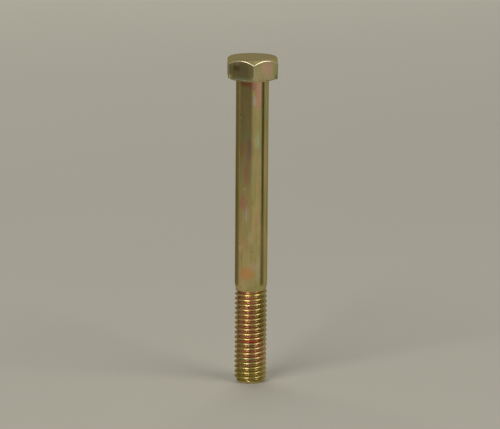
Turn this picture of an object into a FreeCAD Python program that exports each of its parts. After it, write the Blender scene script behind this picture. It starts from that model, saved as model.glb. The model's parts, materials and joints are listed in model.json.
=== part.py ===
"""A hex bolt, 1/2 in by 4 3/4 in with 13 threads to the inch, partly threaded.

The origin is the centre of the head's bearing face. +Z points up through the head, and the
threaded end points down. The head's flats face +X and -X, so its corners lie on the Y axis.
All sizes are in millimetres. The real bolt is one forged piece: its three lengths (head, shank
and threaded end) are made here as closed solids that meet face to face.
"""
import FreeCAD, Part
import math
import os

INCH = 25.4

# Driving dimensions of the bolt.
DIAMETER = 0.5 * INCH
PITCH = INCH / 13
LENGTH_UNDER_HEAD = 4.75 * INCH
ACROSS_FLATS = 0.75 * INCH
HEAD_HEIGHT = 0.323 * INCH

# The head's bearing pad and its chamfered top.
WASHER_FACE_HEIGHT = INCH / 64
WASHER_FACE_DIAMETER = 0.95 * ACROSS_FLATS
TOP_CIRCLE_DIAMETER = 0.97 * ACROSS_FLATS
TOP_CHAMFER_ANGLE = math.radians(45)
LOWER_EDGE_EASE = 0.35

# The shank, from the fillet under the head to the rounded shoulder above the thread.
FILLET_RADIUS = 0.45
SHOULDER_LENGTH = 3.3
SHOULDER_FOOT_RADIUS = 5.8

# The thread. A rolled crest stands just inside the shank's surface.
THREAD_LENGTH = 37.2
CREST_RADIUS = 0.99 * DIAMETER / 2
ROOT_RADIUS = 5.15
ROOT_ROUND = 0.14 * PITCH
FLANK_ANGLE = math.radians(30)
FIRST_CREST_RISE = 0.6
POINT_RADIUS = 4.85
POINT_CHAMFER_ANGLE = math.radians(45)

# Whole turns of the groove: it starts below the point and runs out at the shoulder's foot.
GROOVE_TURNS = math.ceil(THREAD_LENGTH / PITCH) + 1

SHANK_RADIUS = DIAMETER / 2
SEAT_RADIUS = SHANK_RADIUS + FILLET_RADIUS
THREAD_TOP = -(LENGTH_UNDER_HEAD - THREAD_LENGTH)
SHOULDER_TOP = THREAD_TOP + SHOULDER_LENGTH
UP = FreeCAD.Vector(0, 0, 1)
ORIGIN = FreeCAD.Vector(0, 0, 0)


def at(radius, height):
    """A point of a half section: radius along +X, height along +Z."""
    return FreeCAD.Vector(radius, 0, height)


def line(start, end):
    return Part.LineSegment(start, end).toShape()


def turned(edges):
    """The solid that a closed half section makes when it is turned about the axis."""
    return Part.Face(Part.Wire(edges)).revolve(ORIGIN, UP, 360)


def hexagon(across_flats):
    """A closed wire with its flats square to the X axis."""
    corner = across_flats / math.sqrt(3)
    turns = [math.radians(90 + 60 * k) for k in range(7)]
    return Part.makePolygon([FreeCAD.Vector(corner * math.cos(a), corner * math.sin(a), 0) for a in turns])


def hex_head():
    """The hexagon with a chamfered top and eased lower corners, and the ring it bears on.

    The ring surrounds the seat, a shallow round recess that the shank's top fills.
    """
    low, top = WASHER_FACE_HEIGHT, HEAD_HEIGHT
    prism = Part.Face(hexagon(ACROSS_FLATS)).extrude(UP * (top - low))
    prism.translate(UP * low)
    reach = ACROSS_FLATS  # clear of the corners
    eased = ACROSS_FLATS / math.sqrt(3) - LOWER_EDGE_EASE
    eased_height = low + reach - eased
    rim = TOP_CIRCLE_DIAMETER / 2
    rim_height = top - (reach - rim) * math.tan(TOP_CHAMFER_ANGLE)
    envelope = turned([
        line(at(0, low), at(eased, low)),
        line(at(eased, low), at(reach, eased_height)),
        line(at(reach, eased_height), at(reach, rim_height)),
        line(at(reach, rim_height), at(rim, top)),
        line(at(rim, top), at(0, top)),
        line(at(0, top), at(0, low)),
    ])
    pad = Part.makeCylinder(WASHER_FACE_DIAMETER / 2, low)
    seat = Part.makeCylinder(SEAT_RADIUS, low)
    return prism.common(envelope).fuse(pad).cut(seat).removeSplitter()


def shank():
    """The plain round length, with its fillet under the head and its rounded shoulder."""
    r, f = SHANK_RADIUS, FILLET_RADIUS
    bend = f * (1 - math.sqrt(0.5))
    fillet = Part.Arc(at(SEAT_RADIUS, 0), at(r + bend, -bend), at(r, -f)).toShape()
    drop = r - SHOULDER_FOOT_RADIUS
    arc_radius = (SHOULDER_LENGTH ** 2 + drop ** 2) / (2 * drop)
    half_turn = math.asin(SHOULDER_LENGTH / arc_radius) / 2
    middle = at(r - arc_radius * (1 - math.cos(half_turn)), SHOULDER_TOP - arc_radius * math.sin(half_turn))
    shoulder = Part.Arc(at(r, SHOULDER_TOP), middle, at(SHOULDER_FOOT_RADIUS, THREAD_TOP)).toShape()
    return turned([
        line(at(0, WASHER_FACE_HEIGHT), at(SEAT_RADIUS, WASHER_FACE_HEIGHT)),
        line(at(SEAT_RADIUS, WASHER_FACE_HEIGHT), at(SEAT_RADIUS, 0)),
        fillet,
        line(at(r, -f), at(r, SHOULDER_TOP)),
        shoulder,
        line(at(SHOULDER_FOOT_RADIUS, THREAD_TOP), at(0, THREAD_TOP)),
        line(at(0, THREAD_TOP), at(0, WASHER_FACE_HEIGHT)),
    ])


def thread_blank():
    """The threaded end before its groove is cut: a short rise below the shoulder and a chamfered point."""
    end = -LENGTH_UNDER_HEAD
    rise = CREST_RADIUS - SHOULDER_FOOT_RADIUS
    chamfer = (CREST_RADIUS - POINT_RADIUS) * math.tan(POINT_CHAMFER_ANGLE)
    crest_top = THREAD_TOP - FIRST_CREST_RISE * rise
    return turned([
        line(at(0, THREAD_TOP), at(SHOULDER_FOOT_RADIUS, THREAD_TOP)),
        line(at(SHOULDER_FOOT_RADIUS, THREAD_TOP), at(CREST_RADIUS, crest_top)),
        line(at(CREST_RADIUS, crest_top), at(CREST_RADIUS, end + chamfer)),
        line(at(CREST_RADIUS, end + chamfer), at(POINT_RADIUS, end)),
        line(at(POINT_RADIUS, end), at(0, end)),
        line(at(0, end), at(0, THREAD_TOP)),
    ])


def groove_section():
    """The groove between two turns: flanks at 30 degrees each side and a round root."""
    outer = CREST_RADIUS + 0.05 * PITCH
    lift = ROOT_ROUND * (1 - math.sin(FLANK_ANGLE))
    side = ROOT_ROUND * math.cos(FLANK_ANGLE)
    half = side + (outer - ROOT_RADIUS - lift) * math.tan(FLANK_ANGLE)
    root = Part.Arc(at(ROOT_RADIUS + lift, side), at(ROOT_RADIUS, 0), at(ROOT_RADIUS + lift, -side)).toShape()
    return Part.Wire([
        line(at(outer, half), at(ROOT_RADIUS + lift, side)),
        root,
        line(at(ROOT_RADIUS + lift, -side), at(outer, -half)),
        line(at(outer, -half), at(outer, half)),
    ])


def helical_path(turns):
    """A right-hand helix on the crest, one edge to a turn, starting on +X."""
    turn = Part.makeHelix(PITCH, PITCH, CREST_RADIUS).Edges[0]
    edges = [turn.copy() for _ in range(turns)]
    for k, edge in enumerate(edges):
        edge.translate(UP * (k * PITCH))
    return Part.Wire(edges)


def threaded_end():
    """The right-hand thread: one long groove cut from below the point up into the shoulder's foot."""
    sweep = Part.BRepOffsetAPI.MakePipeShell(helical_path(GROOVE_TURNS))
    sweep.setBiNormalMode(UP)  # keeps the section square to the axis along every turn
    sweep.add(groove_section())
    sweep.build()
    sweep.makeSolid()
    groove = sweep.shape()
    groove.translate(UP * (THREAD_TOP - GROOVE_TURNS * PITCH))
    return thread_blank().cut(groove)


os.makedirs("parts", exist_ok=True)
for node, build in {"hex_head": hex_head, "shank": shank, "threaded_end": threaded_end}.items():
    solid = build().Solids[0]
    solid.exportStep(f"parts/{node}.step")
    print(node, "valid" if solid.isValid() else "NOT VALID", f"{solid.Volume:.1f} mm3")
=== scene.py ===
"""A half-inch hex bolt in yellow zinc plate: its head, plain shank and rolled thread, dressed for the studio.

Everything is in metres. The frame's origin is the centre of the head's bearing face, and +Z runs up
through the head, so the shank and the thread lie below zero.
"""
import json
import logging
import math
from dataclasses import dataclass
from enum import Enum

import bmesh
import bpy
import numpy as np
from mathutils import Matrix, Vector, noise


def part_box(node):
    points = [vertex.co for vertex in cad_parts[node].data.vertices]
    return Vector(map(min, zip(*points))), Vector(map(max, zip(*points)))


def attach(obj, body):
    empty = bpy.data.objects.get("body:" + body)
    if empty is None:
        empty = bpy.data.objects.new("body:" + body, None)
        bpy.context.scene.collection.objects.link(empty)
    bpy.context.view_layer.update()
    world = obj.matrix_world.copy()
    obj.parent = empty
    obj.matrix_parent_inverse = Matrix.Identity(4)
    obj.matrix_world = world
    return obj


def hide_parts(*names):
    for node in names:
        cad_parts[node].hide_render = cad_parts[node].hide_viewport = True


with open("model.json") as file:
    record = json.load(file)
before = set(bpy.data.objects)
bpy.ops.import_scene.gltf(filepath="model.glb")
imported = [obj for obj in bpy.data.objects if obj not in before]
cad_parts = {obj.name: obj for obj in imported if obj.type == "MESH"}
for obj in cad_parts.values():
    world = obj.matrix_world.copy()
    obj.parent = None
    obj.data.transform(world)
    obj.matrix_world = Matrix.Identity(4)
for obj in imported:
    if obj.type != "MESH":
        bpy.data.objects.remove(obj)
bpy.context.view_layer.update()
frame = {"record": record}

MM = 0.001
BODY = "root"

LOG = logging.getLogger("hex_bolt")
Colour = tuple[float, float, float]
Point = tuple[float, float, float]


# ---------------------------------------------------------------------------------------------
# Sizes
# ---------------------------------------------------------------------------------------------

@dataclass(frozen=True)
class BoltSizes:
    """The bolt's driving sizes, taken from the frame so that every piece fits its CAD node."""

    flat: float
    head_top: float
    washer_top: float
    seat_radius: float
    shank_radius: float
    shoulder_top: float
    thread_top: float
    end: float
    crest_radius: float
    pitch: float = 25.4 / 13 * MM
    washer_radius: float = 9.05 * MM
    foot_radius: float = 5.8 * MM
    root_radius: float = 5.15 * MM
    point_radius: float = 4.85 * MM

    @classmethod
    def from_frame(cls) -> "BoltSizes":
        """Reads the boxes of the three CAD nodes and the shank mount.

        Returns:
            The sizes, in metres.
        """
        head_low, head_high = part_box("hex_head")
        shank_low, shank_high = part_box("shank")
        thread_low, thread_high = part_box("threaded_end")
        mounts = {m["name"]: m for m in frame["record"]["mounts"]}
        shank = mounts["shank"]
        wall_middle, wall_length = shank["pos_m"][2], shank["dims"]["length_mm"] * MM
        return cls(
            flat=head_high[0],
            head_top=head_high[2],
            washer_top=shank_high[2],
            seat_radius=shank_high[0],
            shank_radius=shank["dims"]["r_mm"] * MM,
            shoulder_top=wall_middle - wall_length / 2,
            thread_top=shank_low[2],
            end=thread_low[2],
            crest_radius=thread_high[0],
        )


# ---------------------------------------------------------------------------------------------
# Mesh building
# ---------------------------------------------------------------------------------------------

def smoothstep(x: float | np.ndarray, low: float, high: float) -> float | np.ndarray:
    """A smooth rise from 0 at low to 1 at high."""
    t = np.clip((x - low) / (high - low), 0.0, 1.0)
    return t * t * (3.0 - 2.0 * t)


def arc(centre: tuple[float, float], radius: float, start: float, stop: float, steps: int) -> np.ndarray:
    """Points of a round stretch of a half section.

    Args:
        centre: the arc's centre as (radius from the axis, height).
        radius: the arc's radius.
        start: the first point's direction from the centre, in degrees above the outward direction.
        stop: the last point's direction.
        steps: how many points, both ends included.

    Returns:
        An array of (radius, height) rows.
    """
    angles = np.radians(np.linspace(start, stop, steps))
    return np.array(centre) + radius * np.column_stack((np.cos(angles), np.sin(angles)))


def straight(start: tuple[float, float], stop: tuple[float, float], steps: int) -> np.ndarray:
    """Evenly spaced points from start to stop, without the first and the last."""
    shares = np.linspace(0.0, 1.0, steps + 2)[1:-1, None]
    return np.array(start) * (1.0 - shares) + np.array(stop) * shares


@dataclass
class Skin:
    """A closed skin of rings about the axis, from a top pole to a bottom pole.

    Attributes:
        name: the piece's name.
        rings: an array of rings by columns by xyz, listed from the top down.
        wear: how exposed each point is to rubbing, from 0 to 1, rings by columns.
    """

    name: str
    rings: np.ndarray
    wear: np.ndarray

    def build(self, crease_degrees: float) -> bpy.types.Object:
        """Makes the mesh object with smooth shading that breaks at sharp creases.

        Args:
            crease_degrees: edges that turn by more than this are shaded sharp.

        Returns:
            The new object, linked into the scene.
        """
        count, columns, _ = self.rings.shape
        points = self.rings.reshape(-1, 3)
        top, bottom = len(points), len(points) + 1
        poles = [self.rings[0].mean(axis=0), self.rings[-1].mean(axis=0)]
        here = np.arange(columns)
        after = (here + 1) % columns
        pairs = list(zip(here.tolist(), after.tolist()))
        faces: list[tuple[int, ...]] = [(top, a, b) for a, b in pairs]
        for row in range(count - 1):
            upper, lower = row * columns, (row + 1) * columns
            faces += [(upper + a, lower + a, lower + b, upper + b) for a, b in pairs]
        last = (count - 1) * columns
        faces += [(bottom, last + b, last + a) for a, b in pairs]
        mesh = bpy.data.meshes.new(self.name)
        mesh.from_pydata(np.vstack((points, poles)).tolist(), [], faces)
        return finish_mesh(self.name, mesh, np.append(self.wear.ravel(), [0.0, 0.0]), crease_degrees)


def finish_mesh(name: str, mesh: bpy.types.Mesh, wear: np.ndarray, crease_degrees: float) -> bpy.types.Object:
    """Stores the wear, sets the shading and puts the mesh into the scene.

    Args:
        name: the object's name.
        mesh: the mesh to finish.
        wear: one exposure value from 0 to 1 for each vertex.
        crease_degrees: edges that turn by more than this are shaded sharp.

    Returns:
        The object that holds the mesh.
    """
    mesh.validate()
    layer = mesh.attributes.new("wear", "FLOAT", "POINT")
    layer.data.foreach_set("value", wear.astype(np.float32))
    mesh.shade_smooth()
    mesh.set_sharp_from_angle(angle=math.radians(crease_degrees))
    piece = bpy.data.objects.new(name, mesh)
    bpy.context.scene.collection.objects.link(piece)
    return piece


def outward(rings: np.ndarray) -> np.ndarray:
    """The unit normal at every point of a grid of rings.

    Args:
        rings: the grid, listed from the top down.

    Returns:
        An array of the grid's shape, with every normal pointing out of the metal.
    """
    down = np.gradient(rings, axis=0)
    round_it = np.roll(rings, -1, axis=1) - np.roll(rings, 1, axis=1)
    normal = np.cross(down, round_it)
    return normal / np.maximum(np.linalg.norm(normal, axis=2, keepdims=True), 1e-12)


def uneven(points: np.ndarray, stretch: Point, seed: float) -> np.ndarray:
    """Smooth noise from 0 to 1 at each point.

    Args:
        points: any array of xyz rows, in metres.
        stretch: the size of the noise's lumps along x, y and z, in metres.
        seed: moves the pattern, so that no two uses are alike.

    Returns:
        An array of the points' shape without its last axis.
    """
    scaled = points.reshape(-1, 3) / np.array(stretch) + seed
    values = [noise.noise(Vector(p)) for p in scaled]
    return np.clip(0.5 + 0.5 * np.array(values), 0.0, 1.0).reshape(points.shape[:-1])


@dataclass(frozen=True)
class Nick:
    """A small dent that handling has left.

    Attributes:
        place: where it is, in millimetres.
        reach: its radius in millimetres.
        depth: how deep its middle is, in millimetres.
    """

    place: Point
    reach: float
    depth: float


def knocked(rings: np.ndarray, nicks: tuple[Nick, ...]) -> tuple[np.ndarray, np.ndarray]:
    """Presses nicks into a grid of rings.

    Args:
        rings: the grid, in metres.
        nicks: the nicks to press in.

    Returns:
        The dented grid, and how far each point lies in the rim of a nick, from 0 to 1.
    """
    normal, sunk, rubbed = outward(rings), np.zeros(rings.shape[:2]), np.zeros(rings.shape[:2])
    for nick in nicks:
        away = np.linalg.norm(rings - np.array(nick.place) * MM, axis=2) / (nick.reach * MM)
        sunk += nick.depth * MM * np.exp(-away ** 2)
        rubbed = np.maximum(rubbed, np.exp(-((away - 0.9) / 0.45) ** 2))
    return rings - normal * sunk[..., None], rubbed


# ---------------------------------------------------------------------------------------------
# Node groups
# ---------------------------------------------------------------------------------------------

class Sheet:
    """A node tree that is being filled in."""

    def __init__(self, tree: bpy.types.NodeTree) -> None:
        """Starts on a tree and forgets where the last node was put."""
        self.tree = tree
        self.across = 0

    def add(self, kind: str, **settings: object) -> bpy.types.Node:
        """Adds a node.

        Args:
            kind: the node's type name without its ShaderNode prefix.
            **settings: properties to set on it.

        Returns:
            The new node.
        """
        node = self.tree.nodes.new(kind if kind.startswith("Node") else f"ShaderNode{kind}")
        node.location = (self.across, 0)
        self.across += 180
        for name, value in settings.items():
            setattr(node, name, value)
        return node

    def feed(self, socket: bpy.types.NodeSocket, value: object) -> None:
        """Links a socket to another socket, or sets it to a plain value.

        Args:
            socket: the input to fill.
            value: a socket to link from, or a plain value.
        """
        if isinstance(value, bpy.types.NodeSocket):
            self.tree.links.new(value, socket)
        else:
            socket.default_value = value

    def maths(self, operation: str, a: object, b: object = 0.0, clamp: bool = False) -> bpy.types.NodeSocket:
        """Adds a Math node.

        Args:
            operation: what the node does.
            a: the first value or socket.
            b: the second value or socket.
            clamp: whether to hold the result between 0 and 1.

        Returns:
            The result's socket.
        """
        node = self.add("Math", operation=operation, use_clamp=clamp)
        self.feed(node.inputs[0], a)
        self.feed(node.inputs[1], b)
        return node.outputs[0]

    def vectors(self, operation: str, a: object, b: object) -> bpy.types.NodeSocket:
        """Adds a Vector Math node that gives a vector.

        Args:
            operation: what the node does.
            a: the first vector or socket.
            b: the second vector or socket.

        Returns:
            The result's socket.
        """
        node = self.add("VectorMath", operation=operation)
        self.feed(node.inputs[0], a)
        self.feed(node.inputs[1], b)
        return node.outputs["Vector"]

    def length(self, vector: object) -> bpy.types.NodeSocket:
        """Measures a vector.

        Args:
            vector: a vector or socket.

        Returns:
            The socket of its length.
        """
        node = self.add("VectorMath", operation="LENGTH")
        self.feed(node.inputs[0], vector)
        return node.outputs["Value"]

    def noise(self, vector: object, scale: object, detail: float = 2.0, roughness: float = 0.5,
              distortion: float = 0.0) -> bpy.types.NodeSocket:
        """Adds a noise texture.

        Args:
            vector: where it is read.
            scale: lumps to the unit.
            detail: how many finer layers it has.
            roughness: how strong the finer layers are.
            distortion: how far the lumps are pulled about.

        Returns:
            The socket of its factor.
        """
        node = self.add("TexNoise", noise_dimensions="3D")
        self.feed(node.inputs["Vector"], vector)
        self.feed(node.inputs["Scale"], scale)
        node.inputs["Detail"].default_value = detail
        node.inputs["Roughness"].default_value = roughness
        node.inputs["Distortion"].default_value = distortion
        return node.outputs["Fac"]

    def rise(self, value: object, low: object, high: object, top: float = 1.0) -> bpy.types.NodeSocket:
        """Adds a smooth rise from 0 to top as a value goes from low to high.

        Args:
            value: the value or socket that is read.
            low: where the rise starts.
            high: where it ends, which may lie below low.
            top: how high it rises.

        Returns:
            The result's socket.
        """
        node = self.add("MapRange", interpolation_type="SMOOTHSTEP")
        self.feed(node.inputs["Value"], value)
        self.feed(node.inputs["From Min"], low)
        self.feed(node.inputs["From Max"], high)
        node.inputs["To Max"].default_value = top
        return node.outputs["Result"]

    def mix(self, share: object, a: object, b: object, blend: str = "MIX") -> bpy.types.NodeSocket:
        """Covers one colour with another.

        Args:
            share: how far b covers a, from 0 to 1.
            a: the colour or socket below.
            b: the colour or socket on top.
            blend: how the two are blended.

        Returns:
            The result's socket.
        """
        node = self.add("Mix", data_type="RGBA", blend_type=blend)
        self.feed(node.inputs["Factor"], share)
        for socket, value in ((node.inputs[6], a), (node.inputs[7], b)):
            self.feed(socket, value if isinstance(value, bpy.types.NodeSocket) else (*value, 1.0))
        return node.outputs[2]

    def group(self, effect: "Effect", **values: object) -> bpy.types.Node:
        """Places a shared node group.

        Args:
            effect: which group.
            **values: what goes into its sockets, by socket name with spaces left out.

        Returns:
            The group's node.
        """
        node = self.add("Group", node_tree=bpy.data.node_groups[effect.value])
        for name, value in values.items():
            self.feed(node.inputs[name], value)
        return node

    def ramp(self, value: object, stops: tuple[tuple[float, Colour], ...]) -> bpy.types.NodeSocket:
        """Adds a colour ramp.

        Args:
            value: the value or socket that is read.
            stops: the ramp's (place, colour) stops, in order.

        Returns:
            The colour's socket.
        """
        node = self.add("ValToRGB")
        band = node.color_ramp
        band.interpolation = "EASE"
        while len(band.elements) < len(stops):
            band.elements.new(0.5)
        for element, (place, colour) in zip(band.elements, stops):
            element.position = place
            element.color = (*colour, 1.0)
        self.feed(node.inputs["Fac"], value)
        return node.outputs["Color"]


class Effect(Enum):
    """The shader node groups that the materials share."""

    FILM = "chromate film"
    STAIN_AND_LIGHT_PATCH = "stain"
    GRAIN = "metal grain"
    PITS = "pits and specks"
    RUB = "rubbed edges"


class SocketKind(Enum):
    """The kinds of socket that a group's face has."""

    NUMBER = "NodeSocketFloat"
    VECTOR = "NodeSocketVector"
    COLOUR = "NodeSocketColor"


class GroupSheet(Sheet):
    """A shared node group that is being filled in, with its input and output nodes in place."""

    def __init__(self, effect: Effect, inputs: dict[str, SocketKind], outputs: dict[str, SocketKind]) -> None:
        """Starts the group with named sockets.

        Args:
            effect: which group it is.
            inputs: the input sockets by name.
            outputs: the output sockets by name.
        """
        tree = bpy.data.node_groups.new(effect.value, "ShaderNodeTree")
        for name, kind in inputs.items():
            tree.interface.new_socket(name=name, in_out="INPUT", socket_type=kind.value)
        for name, kind in outputs.items():
            tree.interface.new_socket(name=name, in_out="OUTPUT", socket_type=kind.value)
        super().__init__(tree)
        self.source = self.add("NodeGroupInput")
        self.sink = self.add("NodeGroupOutput")


# Film colours in the order that a thickening chromate film shows them.
FILM_STOPS: tuple[tuple[float, Colour], ...] = (
    (0.00, (0.46, 0.40, 0.16)),
    (0.22, (0.62, 0.54, 0.22)),
    (0.38, (0.72, 0.58, 0.27)),
    (0.50, (0.76, 0.54, 0.28)),
    (0.60, (0.78, 0.44, 0.29)),
    (0.70, (0.58, 0.30, 0.19)),
    (0.80, (0.50, 0.40, 0.20)),
    (0.90, (0.48, 0.52, 0.26)),
    (1.00, (0.64, 0.55, 0.24)),
)


def build_film() -> None:
    """Chromate film: cloudy colours drawn out along the bolt, from a thickness that varies over the metal."""
    sheet = GroupSheet(
        Effect.FILM,
        {"Place": SocketKind.VECTOR, "Thickness": SocketKind.NUMBER, "Clouds": SocketKind.NUMBER,
         "Streaks": SocketKind.NUMBER},
        {"Colour": SocketKind.COLOUR},
    )
    face = sheet.source.outputs
    along = sheet.vectors("MULTIPLY", face["Place"], (1.0, 1.0, 0.3))
    clouds = sheet.noise(along, 0.14, detail=3.0, roughness=0.6, distortion=0.8)
    drawn_out = sheet.vectors("MULTIPLY", face["Place"], (1.0, 1.0, 0.06))
    streaks = sheet.noise(drawn_out, 0.75, detail=3.0, roughness=0.65)
    mottle = sheet.noise(face["Place"], 1.1, detail=4.0, roughness=0.7)
    cloud_part = sheet.maths("MULTIPLY", sheet.maths("SUBTRACT", clouds, 0.5), face["Clouds"])
    streak_part = sheet.maths("MULTIPLY", sheet.maths("SUBTRACT", streaks, 0.5), face["Streaks"])
    mottle_part = sheet.maths("MULTIPLY", sheet.maths("SUBTRACT", mottle, 0.5), 0.16)
    total = sheet.maths("ADD", cloud_part, streak_part)
    total = sheet.maths("ADD", total, mottle_part)
    total = sheet.maths("ADD", total, face["Thickness"], clamp=True)
    sheet.feed(sheet.sink.inputs["Colour"], sheet.ramp(total, FILM_STOPS))


def build_stain_and_light_patch() -> None:
    """Patch mask: a soft-edged, ragged patch round a centre, as a mask; used for real film stains and for
    patches of painted light and painted shade.
    """
    sheet = GroupSheet(
        Effect.STAIN_AND_LIGHT_PATCH,
        {"Place": SocketKind.VECTOR, "Centre": SocketKind.VECTOR, "Reach": SocketKind.VECTOR,
         "Raggedness": SocketKind.NUMBER},
        {"Mask": SocketKind.NUMBER},
    )
    face = sheet.source.outputs
    away = sheet.vectors("SUBTRACT", face["Place"], face["Centre"])
    away = sheet.length(sheet.vectors("DIVIDE", away, face["Reach"]))
    drawn = sheet.vectors("MULTIPLY", face["Place"], (1.0, 1.0, 0.25))
    ragged = sheet.noise(drawn, 0.6, detail=4.0, roughness=0.6)
    ragged = sheet.maths("MULTIPLY", sheet.maths("SUBTRACT", ragged, 0.5), face["Raggedness"])
    away = sheet.maths("ADD", away, ragged)
    sheet.feed(sheet.sink.inputs["Mask"], sheet.maths("SUBTRACT", 1.0, sheet.rise(away, 0.35, 1.0)))


def build_grain() -> None:
    """Metal grain: fine lines or lumps left by forging, drawing or rolling."""
    sheet = GroupSheet(
        Effect.GRAIN,
        {"Place": SocketKind.VECTOR, "Stretch": SocketKind.VECTOR, "Fineness": SocketKind.NUMBER},
        {"Height": SocketKind.NUMBER, "Value": SocketKind.NUMBER},
    )
    face = sheet.source.outputs
    drawn = sheet.vectors("MULTIPLY", face["Place"], face["Stretch"])
    coarse = sheet.noise(drawn, face["Fineness"], detail=3.0, roughness=0.6)
    fine = sheet.noise(drawn, sheet.maths("MULTIPLY", face["Fineness"], 4.3), detail=2.0, roughness=0.7)
    height = sheet.maths("ADD", sheet.maths("MULTIPLY", coarse, 0.65), sheet.maths("MULTIPLY", fine, 0.35))
    sheet.feed(sheet.sink.inputs["Height"], height)
    sheet.feed(sheet.sink.inputs["Value"], sheet.rise(height, 0.3, 0.7))


def build_pits() -> None:
    """Pits and specks: sparse dark pinholes and sparse pale salt specks of the plating."""
    sheet = GroupSheet(
        Effect.PITS,
        {"Place": SocketKind.VECTOR, "Spacing": SocketKind.NUMBER, "Amount": SocketKind.NUMBER},
        {"Pits": SocketKind.NUMBER, "Specks": SocketKind.NUMBER},
    )
    face = sheet.source.outputs
    cells = sheet.add("TexVoronoi", feature="F1")
    sheet.feed(cells.inputs["Vector"], face["Place"])
    sheet.feed(cells.inputs["Scale"], sheet.maths("DIVIDE", 1.0, face["Spacing"]))
    chance = sheet.add("SeparateColor")
    sheet.feed(chance.inputs["Color"], cells.outputs["Color"])
    size = sheet.maths("ADD", sheet.maths("MULTIPLY", chance.outputs["Blue"], 0.22), 0.06)
    faded = sheet.rise(cells.outputs["Distance"], sheet.maths("MULTIPLY", size, 0.4), size)
    spot = sheet.maths("SUBTRACT", 1.0, faded)
    is_pit = sheet.maths("LESS_THAN", chance.outputs["Red"], face["Amount"])
    is_speck = sheet.maths("LESS_THAN", chance.outputs["Green"], sheet.maths("MULTIPLY", face["Amount"], 0.5))
    sheet.feed(sheet.sink.inputs["Pits"], sheet.maths("MULTIPLY", spot, is_pit))
    sheet.feed(sheet.sink.inputs["Specks"], sheet.maths("MULTIPLY", spot, is_speck))


def build_rub() -> None:
    """Rubbed edges: where handling has thinned the film on exposed edges, broken up by fine noise."""
    sheet = GroupSheet(
        Effect.RUB,
        {"Place": SocketKind.VECTOR, "Wear": SocketKind.NUMBER, "Amount": SocketKind.NUMBER},
        {"Mask": SocketKind.NUMBER},
    )
    face = sheet.source.outputs
    broken = sheet.noise(face["Place"], 0.9, detail=4.0, roughness=0.7)
    reach = sheet.maths("MULTIPLY", face["Wear"], face["Amount"])
    mask = sheet.rise(sheet.maths("ADD", reach, broken), 0.72, 1.25)
    sheet.feed(sheet.sink.inputs["Mask"], mask)


# ---------------------------------------------------------------------------------------------
# Finishes
# ---------------------------------------------------------------------------------------------

GRAIN_SHADE: Colour = (0.72, 0.70, 0.66)
PIT_COLOUR: Colour = (0.16, 0.12, 0.06)
SPECK_COLOUR: Colour = (0.72, 0.70, 0.60)
BARE_ZINC: Colour = (0.78, 0.73, 0.58)
EDGE_TINT: Colour = (0.72, 0.64, 0.42)

# How strongly each effect shows in a material.
GRAIN_DARKENING = 0.5
PIT_DARKENING = 0.55
SPECK_PALING = 0.5
RUB_PALING = 0.7
GRAIN_GLOSS = -0.08
SPECK_DULLING = 0.3
RUB_POLISH = 0.05
PIT_DEPTH = 0.03 * MM
SPECK_HEIGHT = 0.01 * MM

@dataclass(frozen=True)
class StainAndLightPatch:
    """One patch where the film has another colour.

    Attributes:
        azimuth: degrees round the bolt, to the right of straight in front.
        height: millimetres above the bearing face.
        reach: its half width and half height in millimetres.
        colour: the colour there: the film's own for a stain, or a lighter or darker tone for painted light or
            painted shade.
        strength: how far it covers the film below, from 0 to 1.
        out: how far its middle lies from the axis, in millimetres.
        raggedness: how uneven its outline is.
    """

    azimuth: float
    height: float
    reach: tuple[float, float]
    colour: Colour
    strength: float
    out: float = 6.35
    raggedness: float = 0.9

    def cover(self, sheet: Sheet, place: bpy.types.NodeSocket,
              film: bpy.types.NodeSocket) -> bpy.types.NodeSocket:
        """Lays the patch over the film.

        Args:
            sheet: the material's sheet.
            place: the surface point in millimetres.
            film: the colour so far.

        Returns:
            The colour with the patch on it.
        """
        turn = math.radians(self.azimuth)
        centre = (self.out * math.sin(turn), -self.out * math.cos(turn), self.height)
        wide, high = self.reach
        patch = sheet.group(Effect.STAIN_AND_LIGHT_PATCH, Place=place, Centre=centre, Reach=(wide, wide, high),
                            Raggedness=self.raggedness)
        share = sheet.maths("MULTIPLY", patch.outputs["Mask"], self.strength)
        return sheet.mix(share, film, self.colour)


class Grain(Enum):
    """How the metal was worked, as the stretch of its grain along x, y and z."""

    FORGED = (1.0, 1.0, 1.0)
    DRAWN = (1.0, 1.0, 0.03)
    ROLLED = (1.0, 1.0, 1.6)


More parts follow.
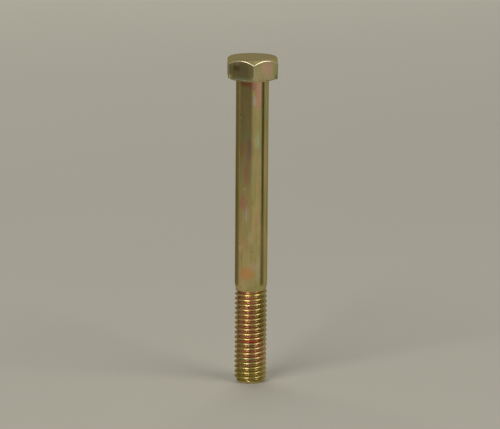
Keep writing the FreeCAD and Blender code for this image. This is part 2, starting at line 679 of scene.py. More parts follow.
@dataclass(frozen=True)
class PlatingFinish:
    """Yellow zinc plate over steel that was worked in one way.

    Attributes:
        name: the material's name.
        slot: the record's material slot; not used.
        grain: how the steel was worked.
        fineness: grain lines or lumps to the millimetre.
        relief: the height of the grain, in millimetres.
        roughness: the roughness of clean plate.
        thickness: where the film sits in its range of colours, from 0 to 1.
        clouds: how much the film varies over large patches.
        streaks: how much it varies from streak to streak.
        rubbing: how much film is gone from exposed edges.
        in_groove: how much thicker the film is at the bottom of a groove.
        stains_and_light_patches: patches with a colour of their own: real stains, and on the head also
            painted light and painted shade.
    """

    name: str
    slot: str
    grain: Grain
    fineness: float
    relief: float
    roughness: float
    thickness: float
    clouds: float
    streaks: float
    rubbing: float
    in_groove: float = 0.0
    stains_and_light_patches: tuple[StainAndLightPatch, ...] = ()

    def film_thickness(self, sheet: Sheet, place: bpy.types.NodeSocket) -> object:
        """The film's thickness, which may grow towards the bottom of the thread's groove.

        Args:
            sheet: the material's sheet.
            place: the surface point in millimetres.

        Returns:
            A plain number, or a socket where the thickness changes with depth.
        """
        if not self.in_groove:
            return self.thickness
        out = sheet.length(sheet.vectors("MULTIPLY", place, (1.0, 1.0, 0.0)))
        shallow, deep = 6.2, 5.3
        return sheet.maths("ADD", sheet.rise(out, shallow, deep, self.in_groove), self.thickness)

    def material(self) -> bpy.types.Material:
        """Builds the finish's material.

        Returns:
            A new node material.
        """
        made = bpy.data.materials.new(self.name)
        made.use_nodes = True
        made.node_tree.nodes.clear()
        sheet = Sheet(made.node_tree)
        place = sheet.vectors("MULTIPLY", sheet.add("TexCoord").outputs["Object"], (1 / MM, 1 / MM, 1 / MM))
        film = sheet.group(Effect.FILM, Place=place, Thickness=self.film_thickness(sheet, place),
                           Clouds=self.clouds, Streaks=self.streaks)
        grain = sheet.group(Effect.GRAIN, Place=place, Stretch=self.grain.value, Fineness=self.fineness)
        spots = sheet.group(Effect.PITS, Place=place, Spacing=1.4, Amount=0.16)
        wear = sheet.add("Attribute", attribute_name="wear", attribute_type="GEOMETRY")
        rub = sheet.group(Effect.RUB, Place=place, Wear=wear.outputs["Fac"], Amount=self.rubbing)
        colour = film.outputs["Colour"]
        for stain in self.stains_and_light_patches:
            colour = stain.cover(sheet, place, colour)
        shade = sheet.mix(grain.outputs["Value"], GRAIN_SHADE, (1.0, 1.0, 1.0))
        colour = sheet.mix(GRAIN_DARKENING, colour, shade, blend="MULTIPLY")
        colour = sheet.mix(sheet.maths("MULTIPLY", spots.outputs["Pits"], PIT_DARKENING), colour, PIT_COLOUR)
        paled = sheet.maths("MULTIPLY", spots.outputs["Specks"], SPECK_PALING)
        colour = sheet.mix(paled, colour, SPECK_COLOUR)
        colour = sheet.mix(sheet.maths("MULTIPLY", rub.outputs["Mask"], RUB_PALING), colour, BARE_ZINC)
        rough = sheet.maths("MULTIPLY", sheet.maths("SUBTRACT", grain.outputs["Value"], 0.5), GRAIN_GLOSS)
        rough = sheet.maths("ADD", rough, self.roughness)
        rough = sheet.maths("ADD", rough, sheet.maths("MULTIPLY", spots.outputs["Specks"], SPECK_DULLING))
        rough = sheet.maths("SUBTRACT", rough, sheet.maths("MULTIPLY", rub.outputs["Mask"], RUB_POLISH))
        height = sheet.maths("MULTIPLY", grain.outputs["Height"], self.relief * MM)
        height = sheet.maths("SUBTRACT", height, sheet.maths("MULTIPLY", spots.outputs["Pits"], PIT_DEPTH))
        height = sheet.maths("ADD", height, sheet.maths("MULTIPLY", spots.outputs["Specks"], SPECK_HEIGHT))
        bump = sheet.add("Bump")
        bump.inputs["Distance"].default_value = 1.0
        sheet.feed(bump.inputs["Height"], height)
        shader = sheet.add("BsdfPrincipled")
        sheet.feed(shader.inputs["Base Color"], colour)
        sheet.feed(shader.inputs["Roughness"], rough)
        sheet.feed(shader.inputs["Normal"], bump.outputs["Normal"])
        shader.inputs["Metallic"].default_value = 1.0
        shader.inputs["Specular Tint"].default_value = (*EDGE_TINT, 1.0)
        sheet.feed(sheet.add("OutputMaterial").inputs["Surface"], shader.outputs["BSDF"])
        return made


# ---------------------------------------------------------------------------------------------
# Pieces
# ---------------------------------------------------------------------------------------------

@dataclass(frozen=True)
class HexHead:
    """The forged head: a chamfered hexagon with softened edges on a round bearing pad.

    Attributes:
        sizes: the bolt's driving sizes.
        corner_round: the radius of its six upright edges.
        chamfer_round: the radius where the top chamfer meets a flat.
        rim_round: the radius where the top chamfer meets the top face.
        foot_round: the radius round the underside.
        rim_radius: the radius of the top face.
        slope: how steeply the top chamfer falls.
        nicks: dents from handling.
    """

    sizes: BoltSizes
    corner_round: float = 0.45 * MM
    chamfer_round: float = 0.42 * MM
    rim_round: float = 0.3 * MM
    foot_round: float = 0.32 * MM
    rim_radius: float = 9.24 * MM
    slope: float = math.radians(45)
    nicks: tuple[Nick, ...] = (
        Nick((0.3, -10.8, 0.75), 0.75, 0.42),
        Nick((-9.3, -5.6, 1.0), 0.9, 0.4),
        Nick((9.4, -5.5, 1.3), 0.6, 0.22),
        Nick((-9.4, 5.5, 6.1), 0.7, 0.25),
        Nick((9.3, 5.6, 0.8), 0.8, 0.3),
        Nick((0.4, 10.8, 5.6), 0.7, 0.25),
        Nick((-0.5, -10.6, 5.9), 0.45, 0.1),
        Nick((3.0, -5.2, 8.2), 0.5, 0.06),
        Nick((-4.6, 1.0, 8.2), 0.7, 0.07),
    )

    def columns(self) -> tuple[np.ndarray, np.ndarray]:
        """Directions round the head, packed close at the corners.

        Returns:
            The angle of each column, and the distance from the axis to the rounded hexagon there.
        """
        apothem, corner = self.sizes.flat, self.corner_round
        to_centre = (apothem - corner) / math.cos(math.pi / 6)
        tangent = math.pi / 6 - math.atan2(to_centre / 2, apothem)
        half = np.concatenate((np.linspace(0.0, tangent, 4), np.linspace(tangent, math.pi / 6, 12)[1:]))
        from_corner = np.concatenate((-half[:0:-1], half[:-1]))
        curved = to_centre * np.cos(from_corner) + np.sqrt(
            np.maximum(corner ** 2 - (to_centre * np.sin(from_corner)) ** 2, 0.0))
        flat = apothem / np.cos(math.pi / 6 - np.abs(from_corner))
        reach = np.where(np.abs(from_corner) <= tangent, curved, flat)
        turns = [math.radians(-90 + 60 * k) + from_corner for k in range(6)]
        return np.concatenate(turns), np.tile(reach, 6)

    def half_section(self, reach: float) -> tuple[np.ndarray, np.ndarray]:
        """The head's outline in one direction, from the middle of the top to the middle of the seat.

        Args:
            reach: the distance from the axis to the side in this direction.

        Returns:
            Rows of (radius, height), and how exposed each is to rubbing.
        """
        top, low, rim = self.sizes.head_top, self.sizes.washer_top, self.rim_radius
        faces_up = 90 - math.degrees(self.slope)
        rim_centre = (rim - self.rim_round * math.tan(self.slope / 2), top - self.rim_round)
        drop_at = top - (reach - rim) * math.tan(self.slope)
        side_bend = self.chamfer_round * math.tan(math.radians(faces_up / 2))
        edge_centre = (reach - self.chamfer_round, drop_at - side_bend)
        rim_arc = arc(rim_centre, self.rim_round, 90, faces_up, 4)
        edge_arc = arc(edge_centre, self.chamfer_round, faces_up, 0, 8)
        foot_arc = arc((reach - self.foot_round, low + self.foot_round), self.foot_round, 0, -90, 6)
        pad_arc = arc((self.sizes.washer_radius - 0.12 * MM, 0.12 * MM), 0.12 * MM, 0, -90, 4)
        seat = self.sizes.seat_radius
        rows = [
            straight((0.0, top), tuple(rim_arc[0]), 17), rim_arc,
            straight(tuple(rim_arc[-1]), tuple(edge_arc[0]), 3), edge_arc,
            straight(tuple(edge_arc[-1]), tuple(foot_arc[0]), 20), foot_arc,
            straight(tuple(foot_arc[-1]), (self.sizes.washer_radius, low), 1),
            np.array([(self.sizes.washer_radius, low)]), pad_arc,
            straight(tuple(pad_arc[-1]), (seat, 0.0), 6),
            np.array([(seat, 0.0), (seat, low)]), straight((seat, low), (0.0, low), 4),
        ]
        exposure = [0.0, 0.2, 0.15, 1.0, 0.0, 0.6, 0.1, 0.1, 0.25, 0.1, 0.0, 0.0]
        wear = np.concatenate([np.full(len(part), value) for part, value in zip(rows, exposure)])
        return np.vstack(rows), wear

    def build(self) -> bpy.types.Object:
        """Builds the head.

        Returns:
            The piece, in place on the frame.
        """
        turns, reaches = self.columns()
        sections = [self.half_section(float(reach)) for reach in reaches]
        outline = np.stack([rows for rows, _ in sections], axis=1)
        wear = np.stack([exposed for _, exposed in sections], axis=1)
        radius, height = outline[..., 0], outline[..., 1]
        rings = np.stack((radius * np.cos(turns), radius * np.sin(turns), height), axis=2)
        corner = smoothstep(reaches, 10.75 * MM, 10.9 * MM)
        upright = (height > self.sizes.washer_top + self.foot_round) & (radius >= reaches - 1e-7)
        wear = np.maximum(wear, np.where(upright, corner * 0.9, 0.0))
        forged = uneven(rings, (4.5 * MM, 4.5 * MM, 3.5 * MM), 3.1) * 0.05
        forged += uneven(rings, (1.3 * MM, 1.3 * MM, 1.3 * MM), 8.7) * 0.022
        outer = smoothstep(height, 0.0, self.sizes.washer_top)
        rings = rings - outward(rings) * (forged * MM * outer)[..., None]
        rings, rubbed = knocked(rings, self.nicks)
        rings[..., 2] = np.clip(rings[..., 2], 0.0, self.sizes.head_top)
        return Skin("head_forging", rings, np.maximum(wear, rubbed * 0.7)).build(crease_degrees=40)


@dataclass(frozen=True)
class PlainShank:
    """The drawn shank, from its seat in the head to the rounded shoulder above the thread.

    Attributes:
        sizes: the bolt's driving sizes.
        columns: how many points go round.
        fillet: the radius under the head.
        nicks: dents from handling.
    """

    sizes: BoltSizes
    columns: int = 128
    fillet: float = 0.45 * MM
    nicks: tuple[Nick, ...] = (
        Nick((2.6, -5.8, -38.0), 0.6, 0.02),
        Nick((-4.4, -4.6, -66.0), 0.8, 0.02),
        Nick((5.6, 3.0, -24.0), 0.9, 0.03),
    )

    def build(self) -> bpy.types.Object:
        """Builds the shank.

        Returns:
            The piece, in place on the frame.
        """
        size = self.sizes
        seat, wall, shoulder = size.seat_radius, size.shank_radius, size.shoulder_top
        depth, drop = shoulder - size.thread_top, wall - size.foot_radius
        sweep = (depth ** 2 + drop ** 2) / (2 * drop)
        under_head = arc((seat, -self.fillet), self.fillet, 90, 180, 7)
        rounded = arc((wall - sweep, shoulder), sweep, 0, -math.degrees(math.asin(depth / sweep)), 14)
        rows = np.vstack((
            straight((0.0, size.washer_top), (seat, size.washer_top), 4), np.array([(seat, size.washer_top)]),
            under_head, straight((wall, -self.fillet), (wall, shoulder), 118), rounded,
            straight((size.foot_radius, size.thread_top), (0.0, size.thread_top), 4),
        ))
        turns = np.linspace(0.0, math.tau, self.columns, endpoint=False)
        radius, height = rows[:, :1], np.repeat(rows[:, 1:], self.columns, axis=1)
        rings = np.stack((radius * np.cos(turns), radius * np.sin(turns), height), axis=2)
        wavy = uneven(rings, (7.0 * MM, 7.0 * MM, 22.0 * MM), 5.3) * 0.035
        wavy += uneven(rings, (2.6 * MM, 2.6 * MM, 9.0 * MM), 1.9) * 0.008
        free = smoothstep(-height, self.fillet, 3 * MM) * smoothstep(height, size.thread_top, shoulder)
        rings = rings - outward(rings) * (wavy * MM * free)[..., None]
        rings, rubbed = knocked(rings, self.nicks)
        edge = np.exp(-((height - shoulder + 0.6 * MM) / (0.9 * MM)) ** 2) * 0.5
        return Skin("plain_shank", rings, np.maximum(edge, rubbed)).build(crease_degrees=50)


@dataclass(frozen=True)
class RolledThread:
    """The rolled right-hand thread, its run-out under the shoulder, and its chamfered, cupped point.

    Attributes:
        sizes: the bolt's driving sizes.
        columns: how many points go round.
        root_round: the radius at the bottom of the groove.
        runout: the height over which the first turn rises from the shoulder's foot.
        cup: how far the end face is dished.
    """

    sizes: BoltSizes
    columns: int = 128
    root_round: float = 0.27 * MM
    runout: float = 0.56 * MM
    cup: float = 0.3 * MM

    def profile_steps(self) -> np.ndarray:
        """Spaces the thread's rings over one pitch.

        Returns:
            Axial distances from a crest to the next, in metres, close together where the profile bends.
        """
        pitch, crest_round = self.sizes.pitch, self.crest_round()
        side = math.cos(math.radians(30))
        crest = crest_round * np.sin(np.radians([0, 20, 40, 60]))
        root = pitch / 2 - self.root_round * np.sin(np.radians([60, 40, 20, 0]))
        flank = np.linspace(crest_round * side, pitch / 2 - self.root_round * side, 5)[1:-1]
        half = np.concatenate((crest, flank, root))
        return np.concatenate((half, pitch - half[-2:0:-1]))

    def crest_round(self) -> float:
        """Works out how round the crest is.

        Returns:
            The radius that rounds the crest off without lowering it.
        """
        root_lift = self.root_round * (1 / math.sin(math.radians(30)) - 1)
        depth = self.sizes.crest_radius - self.sizes.root_radius
        sharp = self.sizes.pitch / 2 / math.tan(math.radians(30))
        return sharp - depth - root_lift

    def radius(self, away: np.ndarray, height: np.ndarray) -> np.ndarray:
        """The thread's radius.

        Args:
            away: axial distance from the nearest crest.
            height: height on the bolt.

        Returns:
            The radius at each point, with the run-out and the point's chamfer taken off.
        """
        size, crest_round, side = self.sizes, self.crest_round(), math.cos(math.radians(30))
        into_root = size.pitch / 2 - away
        crest = size.crest_radius - crest_round + np.sqrt(np.maximum(crest_round ** 2 - away ** 2, 0.0))
        hollow = np.sqrt(np.maximum(self.root_round ** 2 - into_root ** 2, 0.0))
        root = size.root_radius + self.root_round - hollow
        start, stop = crest_round * side, size.pitch / 2 - self.root_round * side
        high = size.crest_radius - crest_round / 2
        low = size.root_radius + self.root_round / 2
        flank = high + (low - high) * (away - start) / (stop - start)
        thread = np.where(away < start, crest, np.where(away > stop, root, flank))
        below = size.thread_top - height
        rise = size.foot_radius + (size.crest_radius - size.foot_radius) * below / self.runout
        point = size.point_radius + (height - size.end)
        thread = soft_minimum(thread, rise, 0.06 * MM)
        thread = soft_minimum(thread, point, 0.12 * MM)
        meets = smoothstep(below, 0.0, 0.3 * MM)
        thread = thread * meets + size.foot_radius * (1.0 - meets)
        meets = smoothstep(height, size.end, size.end + 0.15 * MM)
        return thread * meets + np.minimum(size.point_radius, thread) * (1.0 - meets)

    def build(self) -> bpy.types.Object:
        """Builds the thread.

        Returns:
            The piece, in place on the frame.
        """
        size, steps = self.sizes, self.profile_steps()
        per_pitch = len(steps)
        length = size.thread_top - size.end
        pitches = math.ceil(length / size.pitch) + 4
        turns = np.linspace(0.0, math.tau, self.columns, endpoint=False)
        down = (np.arange(pitches)[:, None] * size.pitch + steps).reshape(-1, 1)
        first = size.thread_top - size.pitch / 2 + 2 * size.pitch
        height = first + size.pitch * turns / math.tau - down
        away = np.tile(np.minimum(steps, size.pitch - steps), pitches)[:, None] * np.ones_like(turns)
        radius = self.radius(away, height)
        spots = np.stack((radius * np.cos(turns), radius * np.sin(turns), height), axis=2)
        worn = uneven(spots, (1.6 * MM, 1.6 * MM, 0.9 * MM), 6.6) * smoothstep(
            radius, size.crest_radius - 0.5 * MM, size.crest_radius)
        radius = radius - worn * 0.06 * MM
        spots = np.stack((radius * np.cos(turns), radius * np.sin(turns), height), axis=2)
        mesh = bpy.data.meshes.new("rolled_thread")
        work = bmesh.new()
        grid = [[work.verts.new(p) for p in row] for row in spots.tolist()]
        for row in range(len(grid) - 1):
            for column in range(self.columns):
                wraps = column == self.columns - 1
                beside = (column + 1) % self.columns
                shift = per_pitch if wraps else 0
                if row - shift < 0:
                    continue
                work.faces.new((grid[row][column], grid[row + 1][column],
                                grid[row + 1 - shift][beside], grid[row - shift][beside]))
        self.trim(work, size.thread_top, 1.0)
        self.trim(work, size.end, -1.0)
        self.close(work, size.thread_top, ((0.7, 0.0), (0.35, 0.0)), False)
        cupped = ((0.975, -0.1), (0.94, 0.15), (0.88, 0.6), (0.7, 0.9), (0.4, 1.0))
        self.close(work, size.end, cupped, True)
        bmesh.ops.recalc_face_normals(work, faces=work.faces)
        work.to_mesh(mesh)
        work.free()
        points = np.array([v.co for v in mesh.vertices])
        out = np.hypot(points[:, 0], points[:, 1])
        wear = smoothstep(out, size.crest_radius - 0.35 * MM, size.crest_radius)
        return finish_mesh("rolled_thread", mesh, wear, crease_degrees=60)

    def trim(self, work: bmesh.types.BMesh, height: float, side: float) -> None:
        """Cuts the thread square at a height and drops what lies beyond.

        Args:
            work: the mesh that is being built.
            height: where to cut.
            side: 1 to drop what lies above, -1 to drop what lies below.
        """
        everything = [*work.verts, *work.edges, *work.faces]
        bmesh.ops.bisect_plane(work, geom=everything, dist=1e-8, plane_co=(0.0, 0.0, height),
                               plane_no=(0.0, 0.0, side), clear_outer=True)
        loose = [v for v in work.verts if not v.link_faces]
        bmesh.ops.delete(work, geom=loose, context="VERTS")

    def close(self, work: bmesh.types.BMesh, height: float, rings: tuple[tuple[float, float], ...],
              cupped: bool) -> None:
        """Closes one end of the thread with rings that shrink to a middle point.

        Args:
            work: the mesh that is being built.
            height: the height of the open end.
            rings: for each ring, its share of the rim's radius and its share of the cup's depth.
            cupped: whether the end is dished.
        """
        rim = [v for v in work.verts if v.is_boundary and abs(v.co.z - height) < 1e-6]
        rim.sort(key=lambda v: math.atan2(v.co.y, v.co.x))
        depth = self.cup if cupped else 0.0
        outer = rim
        for share, sunk in rings:
            place = height + max(sunk, 0.0) * depth
            inner = [work.verts.new((v.co.x * share, v.co.y * share, place)) for v in rim]
            for k in range(len(rim)):
                after = (k + 1) % len(rim)
                work.faces.new((outer[k], outer[after], inner[after], inner[k]))
            outer = inner
        middle = work.verts.new((0.0, 0.0, height + depth))
        for k in range(len(rim)):
            work.faces.new((outer[k], outer[(k + 1) % len(rim)], middle))


def soft_minimum(a: np.ndarray, b: np.ndarray, blend: float) -> np.ndarray:
    """Takes the lower of two radii with a soft crease.

    Args:
        a: the first radius at each point.
        b: the second radius at each point.
        blend: over what difference the crease is rounded.

    Returns:
        The lower radius at each point.
    """
    near = np.maximum(blend - np.abs(a - b), 0.0) / blend
    return np.minimum(a, b) - near * near * blend / 4


@dataclass(frozen=True)
class Dressed:
    """A piece with the CAD node it stands for and the finish it wears."""

    piece: bpy.types.Object
    node: str
    finish: PlatingFinish

    def place(self) -> None:
        """Puts the finish on the piece and ties the piece to the frame."""
        self.piece.data.materials.append(self.finish.material())
        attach(self.piece, BODY)
        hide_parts(self.node)
        count = len(self.piece.data.vertices)
        LOG.info("%s: %d vertices, finish %s", self.piece.name, count, self.finish.name)


# ---------------------------------------------------------------------------------------------
# Studio
# ---------------------------------------------------------------------------------------------

def round_the_bolt(azimuth: float, distance: float, height: float) -> Vector:
    """A place round the bolt.

    Args:
        azimuth: degrees to the right of straight in front.
        distance: metres from the axis.
        height: metres above the bearing face.

    Returns:
        The place as a point.
    """
    turn = math.radians(azimuth)
    return Vector((distance * math.sin(turn), -distance * math.cos(turn), height))


@dataclass(frozen=True)
class SoftBox:
    """A soft light that faces the bolt.

    Attributes:
        name: the light's name.
        azimuth: degrees to the right of straight in front.
        elevation: degrees above level.
        distance: metres from the bolt's middle.
        size: width and height in metres.
        power: in watts.
        colour: the light's colour.
        mirrored: whether it shows in reflections.
    """

    name: str
    azimuth: float
    elevation: float
    distance: float
    size: tuple[float, float]
    power: float
    colour: Colour = (1.0, 0.96, 0.9)
    mirrored: bool = True

    def build(self, middle: Vector) -> None:
        """Hangs the light and turns it towards the bolt's middle.

        Args:
            middle: the bolt's middle.
        """
        lamp = bpy.data.lights.new(self.name, "AREA")
        lamp.shape = "RECTANGLE"
        lamp.size, lamp.size_y = self.size
        lamp.energy = self.power
        lamp.color = self.colour
        holder = bpy.data.objects.new(self.name, lamp)
        rise = math.radians(self.elevation)
        holder.location = middle + round_the_bolt(self.azimuth, self.distance * math.cos(rise),
                                                  self.distance * math.sin(rise))
        holder.rotation_euler = (middle - holder.location).to_track_quat("-Z", "Y").to_euler()
        holder.visible_glossy = self.mirrored
        bpy.context.scene.collection.objects.link(holder)


@dataclass(frozen=True)
class Card:
    """A curved card that stands round the bolt and shows only in reflections.

    Attributes:
        name: the card's name.
        azimuths: where it starts and stops, in degrees to the right of straight in front.
        distance: metres from the axis.
        heights: its lower and upper edge in metres above the floor.
        colour: what it gives back to the metal.
        strength: how brightly.
        fades: over how much of its width and of its height each edge fades out. An edge on the floor
            does not fade.
    """

    name: str
    azimuths: tuple[float, float]
    distance: float
    heights: tuple[float, float]
    colour: Colour
    strength: float
    fades: tuple[float, float] = (0.2, 0.2)

    def build(self, floor: float) -> None:
        """Stands the card on the stage.

        Args:
            floor: the floor's height.
        """
        wide, high = 41, 13
        mesh = bpy.data.meshes.new(self.name)
        across, up = np.meshgrid(np.linspace(0.0, 1.0, wide), np.linspace(0.0, 1.0, high), indexing="ij")
        azimuths = self.azimuths[0] * (1 - across) + self.azimuths[1] * across
        heights = floor + self.heights[0] * (1 - up) + self.heights[1] * up
        places = zip(azimuths.ravel().tolist(), heights.ravel().tolist())
        points = [round_the_bolt(azimuth, self.distance, height) for azimuth, height in places]
        corners = [(high * i + j, high * (i + 1) + j) for i in range(wide - 1) for j in range(high - 1)]
        mesh.from_pydata(points, [], [(k, beside, beside + 1, k + 1) for k, beside in corners])
        side_fade, edge_fade = self.fades
        cover = smoothstep(np.minimum(across, 1 - across), 0.0, side_fade)
        cover = cover * smoothstep(1 - up, 0.0, edge_fade)
        if self.heights[0] > 0.0:
            cover = cover * smoothstep(up, 0.0, edge_fade)
        layer = mesh.attributes.new("cover", "FLOAT", "POINT")
        layer.data.foreach_set("value", cover.ravel().astype(np.float32))
        card = bpy.data.objects.new(self.name, mesh)
        bpy.context.scene.collection.objects.link(card)
        made = bpy.data.materials.new(self.name)
        made.use_nodes = True
        made.node_tree.nodes.clear()
        sheet = Sheet(made.node_tree)
        glow = sheet.add("Emission")
        glow.inputs["Color"].default_value = (*self.colour, 1.0)
        glow.inputs["Strength"].default_value = self.strength
        veil = sheet.add("MixShader")
        cover_layer = sheet.add("Attribute", attribute_name="cover", attribute_type="GEOMETRY")
        sheet.feed(veil.inputs["Fac"], cover_layer.outputs["Fac"])
        sheet.feed(veil.inputs[1], sheet.add("BsdfTransparent").outputs["BSDF"])
        sheet.feed(veil.inputs[2], glow.outputs["Emission"])
        sheet.feed(sheet.add("OutputMaterial").inputs["Surface"], veil.outputs["Shader"])
        mesh.materials.append(made)
        card.visible_camera = card.visible_diffuse = card.visible_shadow = False
        card.visible_transmission = card.visible_volume_scatter = False


@dataclass(frozen=True)
class Studio:
    """The pale floor, the soft lights, the cards and the camera.

    Attributes:
        floor_height: where the bolt stands.
        floor_colour: the floor's paint.
        air_colour: the light that comes from everywhere.
        air_strength: how strong that is.
        wall_colour: what the metal mirrors where there is no floor, light or card.
        wall_strength: how bright that is.
        camera_azimuth: degrees to the right of straight in front.
        camera_distance: metres from the axis.
        camera_height: metres above the bearing face.
        camera_roll: degrees that the camera leans.
        camera_sidestep: metres that the camera moves to its right.
        aim_height: how far above the floor the camera looks.
        lens_length: the lens's focal length in millimetres.
        boxes: the soft lights.
        cards: the reflection cards.
    """

    floor_height: float
    floor_colour: Colour = (0.40, 0.391, 0.34)
    air_colour: Colour = (0.96, 1.0, 1.05)
    air_strength: float = 0.14
    wall_colour: Colour = (1.0, 0.97, 0.84)
    wall_strength: float = 0.36
    camera_azimuth: float = -3.0
    camera_distance: float = 1.148
    camera_height: float = 0.209
    camera_roll: float = 0.43
    camera_sidestep: float = -0.00056
    aim_height: float = 0.0668
    lens_length: float = 218.4
    boxes: tuple[SoftBox, ...] = (
        SoftBox("right_box", 58, 42, 1.3, (0.75, 0.6), 6.6),
        SoftBox("left_box", -40, 42, 1.4, (0.7, 0.5), 9.8),
        SoftBox("back_box", 190, 30, 1.84, (2.4, 1.0), 22.0, mirrored=False),
    )
    cards: tuple[Card, ...] = (
        Card("front_flag", (-104, 4), 0.38, (0.0, 0.2), (1.0, 0.92, 0.75), 0.13, (0.12, 0.3)),
        Card("right_card", (26, 66), 0.4, (0.0, 0.2), (1.0, 0.95, 0.86), 0.42, (0.25, 0.3)),
        Card("left_edge_flag", (-165, -92), 0.11, (0.0, 0.16), (1.0, 0.9, 0.65), 0.17, (0.25, 0.2)),
        Card("low_edge_flag", (58, 100), 0.11, (0.0, 0.045), (1.0, 0.9, 0.7), 0.14, (0.25, 0.4)),
        Card("high_edge_flag", (62, 94), 0.11, (0.02, 0.16), (1.0, 0.88, 0.6), 0.035, (0.35, 0.2)),
    )

    def build(self) -> None:
        """Sets up the stage, the lights and the camera."""
        scene = bpy.context.scene
        scene.view_settings.view_transform = "Standard"
        world = bpy.data.worlds.new("studio_air")
        scene.world = world
        world.use_nodes = True
        world.node_tree.nodes.clear()
        sheet = Sheet(world.node_tree)
        choice = sheet.add("MixShader")
        sheet.feed(choice.inputs["Fac"], sheet.add("LightPath").outputs["Is Glossy Ray"])
        tones = ((self.air_colour, self.air_strength), (self.wall_colour, self.wall_strength))
        for socket, (colour, strength) in zip(choice.inputs[1:], tones):
            tone = sheet.add("Background")
            tone.inputs["Color"].default_value = (*colour, 1.0)
            tone.inputs["Strength"].default_value = strength
            sheet.feed(socket, tone.outputs["Background"])
        sheet.feed(sheet.add("OutputWorld").inputs["Surface"], choice.outputs["Shader"])
        middle = Vector((0.0, 0.0, self.floor_height / 2))
        for box in self.boxes:
            box.build(middle)
        for card in self.cards:
            card.build(self.floor_height)
        self.build_floor()
        self.build_camera()

    def build_floor(self) -> None:
        """Lays the floor: matt, a little uneven in tone, and clear from below.

        It is also clear to rays that start just above it, so that the point's end face has something
        to mirror.
        """
        mesh = bpy.data.meshes.new("studio_floor")
        reach = 6.0
        corners = [(-reach, -reach), (reach, -reach), (reach, reach), (-reach, reach)]
        mesh.from_pydata([(x, y, self.floor_height) for x, y in corners], [], [(0, 1, 2, 3)])
        floor = bpy.data.objects.new("studio_floor", mesh)
        bpy.context.scene.collection.objects.link(floor)
        made = bpy.data.materials.new("studio_floor")
        made.use_nodes = True
        made.node_tree.nodes.clear()
        sheet = Sheet(made.node_tree)
        place = sheet.add("TexCoord").outputs["Object"]
        tone = sheet.noise(place, 7.0, detail=2.0)
        darker = tuple(c * 0.985 for c in self.floor_colour)
        colour = sheet.mix(tone, darker, tuple(c * 1.015 for c in self.floor_colour))
        matt = sheet.add("BsdfPrincipled")
        sheet.feed(matt.inputs["Base Color"], colour)
        matt.inputs["Roughness"].default_value = 0.75
        matt.inputs["Specular IOR Level"].default_value = 0.2
        clear = sheet.add("BsdfTransparent")
        side = sheet.add("MixShader")
        close_by = sheet.maths("LESS_THAN", sheet.add("LightPath").outputs["Ray Length"], 1.0 * MM)
        from_below = sheet.add("NewGeometry").outputs["Backfacing"]
        sheet.feed(side.inputs["Fac"], sheet.maths("MAXIMUM", close_by, from_below))
        sheet.feed(side.inputs[1], matt.outputs["BSDF"])
        sheet.feed(side.inputs[2], clear.outputs["BSDF"])
        sheet.feed(sheet.add("OutputMaterial").inputs["Surface"], side.outputs["Shader"])
        mesh.materials.append(made)

    def build_camera(self) -> None:
        """Sets the camera a little above the bolt, looking slightly down, with a long lens."""
        lens = bpy.data.cameras.new("camera")
        lens.lens = self.lens_length
        lens.sensor_width = 36.0
        lens.clip_start = 0.05
        lens.clip_end = 50.0
        camera = bpy.data.objects.new("camera", lens)
        bpy.context.scene.collection.objects.link(camera)
        place = round_the_bolt(self.camera_azimuth, self.camera_distance, self.camera_height)
        aim = Vector((0.0, 0.0, self.floor_height + self.aim_height))
        forward = (aim - place).normalized()
        side = forward.cross(Vector((0.0, 0.0, 1.0))).normalized()
        shift = side * self.camera_sidestep
        look = forward.to_track_quat("-Z", "Y").to_matrix().to_4x4()
        roll = Matrix.Rotation(math.radians(self.camera_roll), 4, "Z")
        camera.matrix_world = Matrix.Translation(place + shift) @ look @ roll
        bpy.context.scene.camera = camera


# ---------------------------------------------------------------------------------------------
# Putting it together
# ---------------------------------------------------------------------------------------------

HEAD_FINISH = PlatingFinish(
    name="head_plating", slot="head_plating", grain=Grain.FORGED, fineness=1.6, relief=0.012,
    roughness=0.34, thickness=0.26, clouds=0.8, streaks=0.2, rubbing=0.75,
    stains_and_light_patches=(
        StainAndLightPatch(0, 8.2, (13.0, 1.6), (0.62, 0.56, 0.42), 0.7, out=0.0),
        # Painted shade: the next two dark patches darken the left flat where it mirrors little light.
        StainAndLightPatch(-30, 4.2, (7.0, 5.4), (0.32, 0.28, 0.14), 0.85, out=9.5, raggedness=1.4),
        StainAndLightPatch(-42, 5.2, (2.4, 1.8), (0.20, 0.16, 0.07), 0.8, out=9.8, raggedness=1.6),
        # Painted light: this pale gold patch lightens the right flat where the lamps make it look bright.
        StainAndLightPatch(30, 4.2, (6.5, 6.0), (0.86, 0.74, 0.42), 0.75, out=9.5),
        StainAndLightPatch(34, 5.0, (4.2, 4.2), (0.98, 0.64, 0.46), 0.8, out=9.6),
        StainAndLightPatch(55, 4.0, (1.8, 4.4), (0.58, 0.64, 0.26), 0.8, out=10.4),
        StainAndLightPatch(9, 2.8, (2.0, 3.6), (0.76, 0.66, 0.34), 0.7, out=10.4),
        StainAndLightPatch(-25, 0.9, (6.0, 1.0), (0.46, 0.54, 0.36), 0.6, out=9.8),
        StainAndLightPatch(205, 4.0, (3.5, 4.0), (0.78, 0.48, 0.32), 0.6, out=9.8),
    ),
)
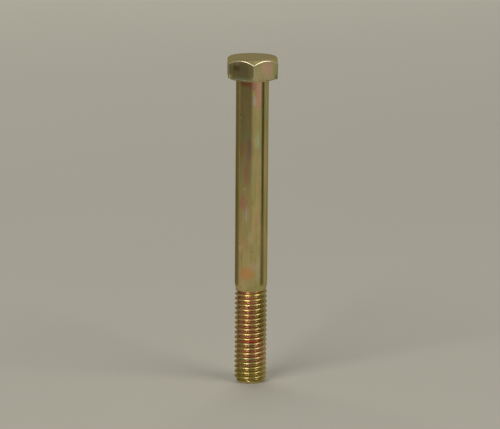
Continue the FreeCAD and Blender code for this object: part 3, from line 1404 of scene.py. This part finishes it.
SHANK_FINISH = PlatingFinish(
    name="shank_plating", slot="shank_plating", grain=Grain.DRAWN, fineness=2.2, relief=0.004,
    roughness=0.21, thickness=0.32, clouds=0.9, streaks=0.4, rubbing=0.6,
    stains_and_light_patches=(
        StainAndLightPatch(-25, -1.2, (5.0, 1.9), (0.66, 0.28, 0.14), 0.85),
        StainAndLightPatch(2, -2.2, (2.2, 2.6), (0.70, 0.36, 0.28), 0.75),
        StainAndLightPatch(20, -5.5, (1.9, 8.5), (0.86, 0.48, 0.34), 0.85, raggedness=0.5),
        StainAndLightPatch(5, -7.8, (0.8, 2.6), (0.80, 0.76, 0.68), 0.85),
        StainAndLightPatch(60, -9.0, (2.4, 10.0), (0.58, 0.62, 0.26), 0.7),
        StainAndLightPatch(17, -24.0, (1.5, 5.0), (0.66, 0.72, 0.42), 0.75),
        StainAndLightPatch(-26, -21.5, (2.4, 3.0), (0.56, 0.60, 0.26), 0.6),
        StainAndLightPatch(-13, -27.0, (1.6, 7.0), (0.64, 0.38, 0.30), 0.75),
        StainAndLightPatch(-42, -27.5, (2.2, 3.0), (0.76, 0.44, 0.18), 0.7),
        StainAndLightPatch(-20, -37.0, (1.8, 6.0), (0.74, 0.38, 0.22), 0.75),
        StainAndLightPatch(-1, -37.0, (2.0, 8.0), (0.58, 0.60, 0.28), 0.6),
        StainAndLightPatch(15, -41.0, (0.8, 5.0), (0.80, 0.54, 0.26), 0.6),
        StainAndLightPatch(-34, -48.0, (1.8, 4.6), (0.78, 0.36, 0.26), 0.85),
        StainAndLightPatch(-20, -52.5, (1.3, 4.0), (0.80, 0.62, 0.48), 0.7),
        StainAndLightPatch(17, -53.5, (1.0, 3.2), (0.82, 0.48, 0.32), 0.65),
        StainAndLightPatch(-9, -62.0, (1.3, 4.2), (0.84, 0.72, 0.50), 0.6),
        StainAndLightPatch(-30, -64.0, (3.0, 5.0), (0.76, 0.50, 0.22), 0.6),
        StainAndLightPatch(-18, -76.0, (4.0, 3.4), (0.88, 0.44, 0.16), 0.7),
        StainAndLightPatch(4, -73.0, (2.0, 3.0), (0.84, 0.58, 0.40), 0.6),
        StainAndLightPatch(24, -74.0, (1.6, 7.0), (0.78, 0.70, 0.46), 0.6),
        StainAndLightPatch(150, -30.0, (4.0, 16.0), (0.80, 0.44, 0.30), 0.65),
        StainAndLightPatch(215, -58.0, (3.5, 12.0), (0.58, 0.62, 0.28), 0.6),
    ),
)
THREAD_FINISH = PlatingFinish(
    name="thread_plating", slot="thread_plating", grain=Grain.ROLLED, fineness=2.0, relief=0.004,
    roughness=0.2, thickness=0.34, clouds=0.6, streaks=0.15, rubbing=0.25, in_groove=0.31,
    stains_and_light_patches=(
        StainAndLightPatch(0, -103.4, (8.0, 0.9), (0.70, 0.20, 0.10), 0.7, raggedness=0.3),
        StainAndLightPatch(-10, -104.8, (7.0, 0.8), (0.42, 0.50, 0.24), 0.7, raggedness=0.3),
        StainAndLightPatch(-10, -110.6, (7.0, 0.8), (0.40, 0.50, 0.30), 0.7, raggedness=0.3),
        StainAndLightPatch(-10, -112.6, (7.0, 0.7), (0.42, 0.50, 0.26), 0.6, raggedness=0.3),
        StainAndLightPatch(0, -118.5, (14.0, 9.5), (0.58, 0.52, 0.18), 0.8, out=0.0),
        StainAndLightPatch(55, -93.0, (5.5, 14.0), (0.42, 0.40, 0.13), 0.75),
    ),
)


def main() -> None:
    """Builds the bolt and its studio."""
    logging.basicConfig(level=logging.INFO, format="%(name)s: %(message)s")
    build_film()
    build_stain_and_light_patch()
    build_grain()
    build_pits()
    build_rub()
    sizes = BoltSizes.from_frame()
    Dressed(HexHead(sizes).build(), "hex_head", HEAD_FINISH).place()
    Dressed(PlainShank(sizes).build(), "shank", SHANK_FINISH).place()
    Dressed(RolledThread(sizes).build(), "threaded_end", THREAD_FINISH).place()
    Studio(sizes.end).build()


if __name__ == "__main__":
    main()
